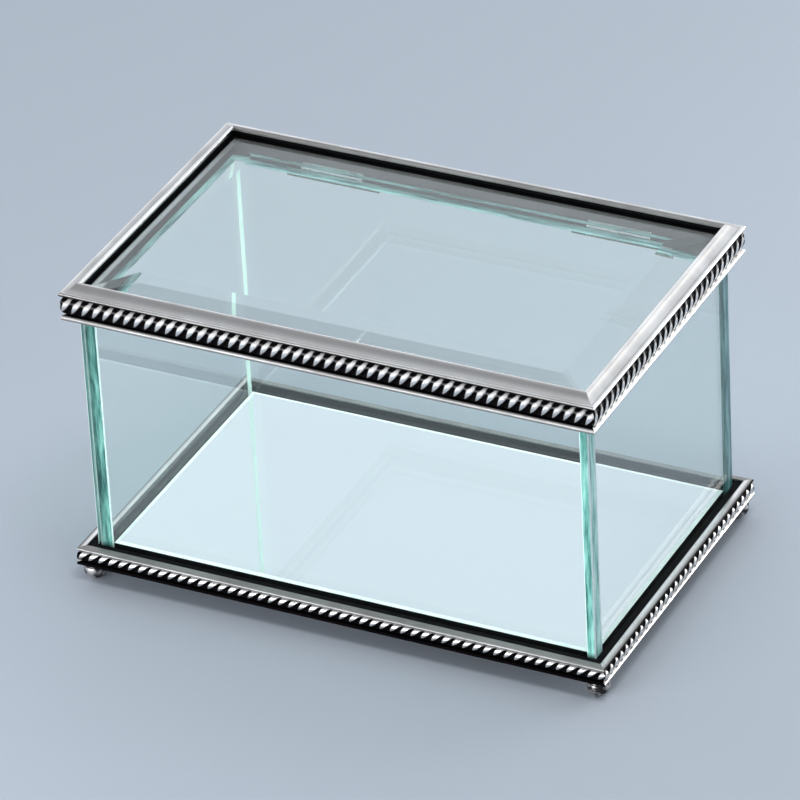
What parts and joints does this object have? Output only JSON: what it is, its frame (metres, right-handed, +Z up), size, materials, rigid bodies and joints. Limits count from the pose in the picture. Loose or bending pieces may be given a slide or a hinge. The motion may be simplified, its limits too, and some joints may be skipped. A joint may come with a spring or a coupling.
{
  "type": "glass casket box",
  "caption": "Glass keepsake casket with a mirror floor, rope-trimmed silver frames, ball feet and a hinged lid with bevelled glass.",
  "frame": {"origin": "on the surface that the feet stand on, under the middle of the box", "axes": "+X to the right along the long side, +Y to the back where the hinges are, +Z up"},
  "size_m": [0.2016, 0.128, 0.1189],
  "materials": {
    "silver_plate": "satin silver plate",
    "silver_rope": "satin silver plate, darkened between the strands",
    "wall_glass": "clear float glass with ground green edges",
    "lid_glass": "clear float glass with polished bevels",
    "mirror": "silvered glass",
    "black_liner": "matt black",
    "board": "plain hardboard",
    "felt": "black felt",
    "pin_steel": "bright steel wire",
    "clear_pad": "clear soft plastic"
  },
  "bodies": {
    "casket": {"base_rail_front": "silver_plate", "base_rail_right": "silver_plate", "base_rail_back": "silver_plate", "base_rail_left": "silver_plate", "base_rope_front": "silver_rope", "base_rope_right": "silver_rope", "base_rope_back": "silver_rope", "base_rope_left": "silver_rope", "base_bedding": "black_liner", "floor_mirror": "mirror", "floor_board": "board", "floor_felt": "felt", "foot_front_left": "silver_plate", "foot_front_right": "silver_plate", "foot_back_left": "silver_plate", "foot_back_right": "silver_plate", "glass_front": "wall_glass", "glass_back": "wall_glass", "glass_left": "wall_glass", "glass_right": "wall_glass", "hinge_leaf_left": "silver_plate", "hinge_leaf_right": "silver_plate", "hinge_pin_left": "pin_steel", "hinge_pin_right": "pin_steel"},
    "lid": {"lid_rail_front": "silver_plate", "lid_rail_right": "silver_plate", "lid_rail_back": "silver_plate", "lid_rail_left": "silver_plate", "lid_rope_front": "silver_rope", "lid_rope_right": "silver_rope", "lid_rope_back": "silver_rope", "lid_rope_left": "silver_rope", "lid_liner": "black_liner", "lid_glass": "lid_glass", "lid_leaf_left": "silver_plate", "lid_leaf_right": "silver_plate", "lid_bumpers": "clear_pad"}
  },
  "joints": [
    {"name": "lid_hinge", "type": "hinge", "parent": "casket", "child": "lid", "pos_m": [0, 0.0599, 0.1052], "axis": [-1, 0, 0], "range_deg": [0, 110]}
  ]
}
